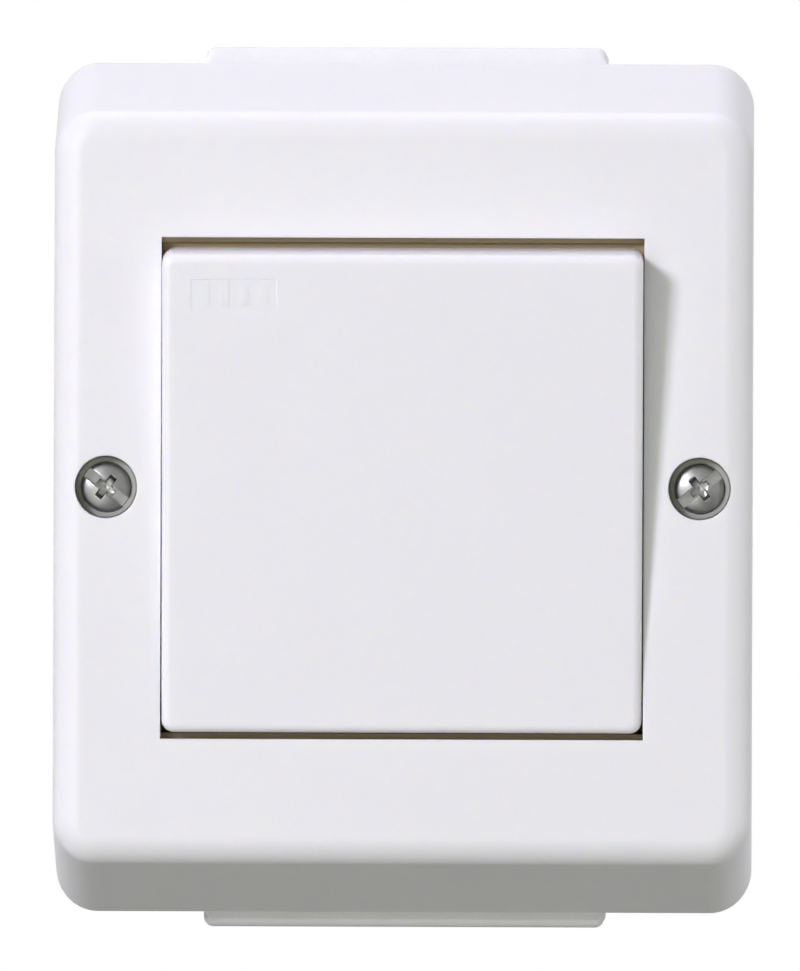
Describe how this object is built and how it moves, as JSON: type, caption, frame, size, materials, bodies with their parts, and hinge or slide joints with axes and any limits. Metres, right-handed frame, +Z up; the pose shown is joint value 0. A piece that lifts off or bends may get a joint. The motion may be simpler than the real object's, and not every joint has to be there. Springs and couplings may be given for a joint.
{
  "type": "outdoor weatherproof switch",
  "caption": "Surface-mounted outdoor rocker switch: white box and sloped cover, square rocker that tilts, gaskets, cable entries and a full change-over mechanism.",
  "frame": {"origin": "middle of the box's flat back face, on the wall", "axes": "+Z up, -Y out of the wall towards the user, +X to the right of someone who faces the switch"},
  "size_m": [0.071, 0.0503, 0.09],
  "materials": {
    "enclosure_plastic": "satin white moulded plastic",
    "rocker_plastic": "satin white moulded plastic",
    "entry_rubber": "matte off-white elastomer",
    "gasket_rubber": "matte black elastomer",
    "diaphragm_rubber": "matte olive-grey elastomer",
    "bright_steel": "bright nickel plate",
    "brass": "plain drawn brass",
    "plated_steel": "bright zinc plate",
    "mechanism_plastic": "matte light grey moulding",
    "cradle_plastic": "matte white moulding",
    "plunger_plastic": "matte natural nylon",
    "contact_silver": "silver alloy button"
  },
  "bodies": {
    "enclosure": {"cover": "enclosure_plastic", "base_box": "enclosure_plastic", "cable_entry_top": "entry_rubber", "cable_entry_bottom": "entry_rubber", "base_seal": "gasket_rubber", "cover_screw_seals": "gasket_rubber", "rocker_seal": "diaphragm_rubber", "cover_screws": "bright_steel", "thread_inserts": "brass", "support_frame": "plated_steel", "frame_screws": "plated_steel", "frame_rivets": "plated_steel", "insert_body": "mechanism_plastic", "insert_base": "mechanism_plastic", "common_terminal": "brass", "fixed_contact_upper": "brass", "fixed_contact_lower": "brass", "fixed_contact_tips": "contact_silver", "terminal_clamps": "plated_steel", "terminal_screws": "plated_steel", "earth_terminal": "brass", "earth_terminal_screw": "plated_steel"},
    "rocker_unit": {"rocker": "rocker_plastic", "cradle": "cradle_plastic", "plunger_spring": "plated_steel"},
    "plunger_pin": {"plunger": "plunger_plastic"},
    "see_saw": {"moving_contact": "brass", "moving_contact_tips": "contact_silver"}
  },
  "joints": [
    {"name": "rocker_tilt", "type": "hinge", "parent": "enclosure", "child": "rocker_unit", "pos_m": [0, -0.0419, 0], "axis": [1, 0, 0], "range_deg": [-12, 0]},
    {"name": "plunger_slide", "type": "slide", "parent": "rocker_unit", "child": "plunger_pin", "axis": [0, -0.9945, -0.1045], "range_m": [0, 0.0005], "stiffness_N_per_m": 300, "springref_m": -0.002, "deforming": ["plunger_spring"]},
    {"name": "see_saw_tilt", "type": "hinge", "parent": "enclosure", "child": "see_saw", "pos_m": [0, -0.0278, 0], "axis": [1, 0, 0], "range_deg": [0, 12]}
  ],
  "couplings": [
    {"joint": "see_saw_tilt", "follows": "rocker_tilt", "ratio": -1}
  ]
}
